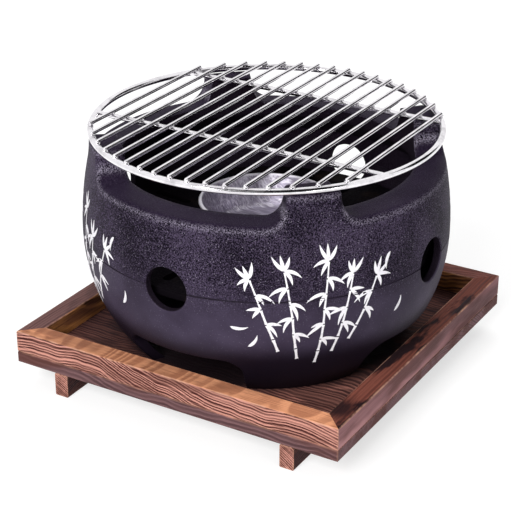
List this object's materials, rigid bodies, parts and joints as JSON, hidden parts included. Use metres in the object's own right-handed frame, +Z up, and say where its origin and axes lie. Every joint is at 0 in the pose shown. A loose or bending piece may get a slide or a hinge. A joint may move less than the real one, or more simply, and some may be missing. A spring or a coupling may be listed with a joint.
{
  "type": "table-top charcoal grill",
  "caption": "Round table-top charcoal grill: a black split cast bowl with vents, arched feet and rim lugs under a welded wire net, standing in a square burnt-wood tray.",
  "frame": {"origin": "centre of the tray on the surface that it stands on", "axes": "+Z up, +X across the runners, +Y along the runners and the net's bars"},
  "size_m": [0.2416, 0.2416, 0.1734],
  "materials": {
    "burnt_wood": "carbonised softwood with brushed grain",
    "brad_steel": "plain",
    "black_casting": "black coating over a rough casting",
    "grate_iron": "rough",
    "dish_steel": "brushed",
    "net_wire": "bright"
  },
  "bodies": {
    "tray": {"base_board": "burnt_wood", "rail_front": "burnt_wood", "rail_right": "burnt_wood", "rail_back": "burnt_wood", "rail_left": "burnt_wood", "runner_left": "burnt_wood", "runner_right": "burnt_wood", "rail_brads": "brad_steel", "runner_brads": "brad_steel"},
    "lower_bowl": {"lower_shell": "black_casting"},
    "upper_bowl": {"upper_shell": "black_casting"},
    "grate": {"charcoal_grate": "grate_iron"},
    "dish": {"fuel_dish": "dish_steel"},
    "net": {"net_ring": "net_wire", "net_crossbar_front": "net_wire", "net_crossbar_back": "net_wire", "net_bar_01": "net_wire", "net_bar_02": "net_wire", "net_bar_03": "net_wire", "net_bar_04": "net_wire", "net_bar_05": "net_wire", "net_bar_06": "net_wire", "net_bar_07": "net_wire", "net_bar_08": "net_wire", "net_bar_09": "net_wire", "net_bar_10": "net_wire", "net_bar_11": "net_wire", "net_bar_12": "net_wire", "net_bar_13": "net_wire", "net_bar_14": "net_wire", "net_bar_15": "net_wire", "net_bar_16": "net_wire", "net_bar_17": "net_wire"}
  },
  "joints": [
    {"name": "bowl_lift", "type": "slide", "parent": "tray", "child": "lower_bowl", "axis": [0, 0, 1], "range_m": [0, 0.08]},
    {"name": "upper_lift", "type": "slide", "parent": "lower_bowl", "child": "upper_bowl", "axis": [0, 0, 1], "range_m": [0, 0.08]},
    {"name": "net_lift", "type": "slide", "parent": "upper_bowl", "child": "net", "axis": [0, 0, 1], "range_m": [0, 0.08]},
    {"name": "grate_lift", "type": "slide", "parent": "lower_bowl", "child": "grate", "axis": [0, 0, 1], "range_m": [0, 0.012]},
    {"name": "dish_lift", "type": "slide", "parent": "grate", "child": "dish", "axis": [0, 0, 1], "range_m": [0, 0.02]}
  ]
}
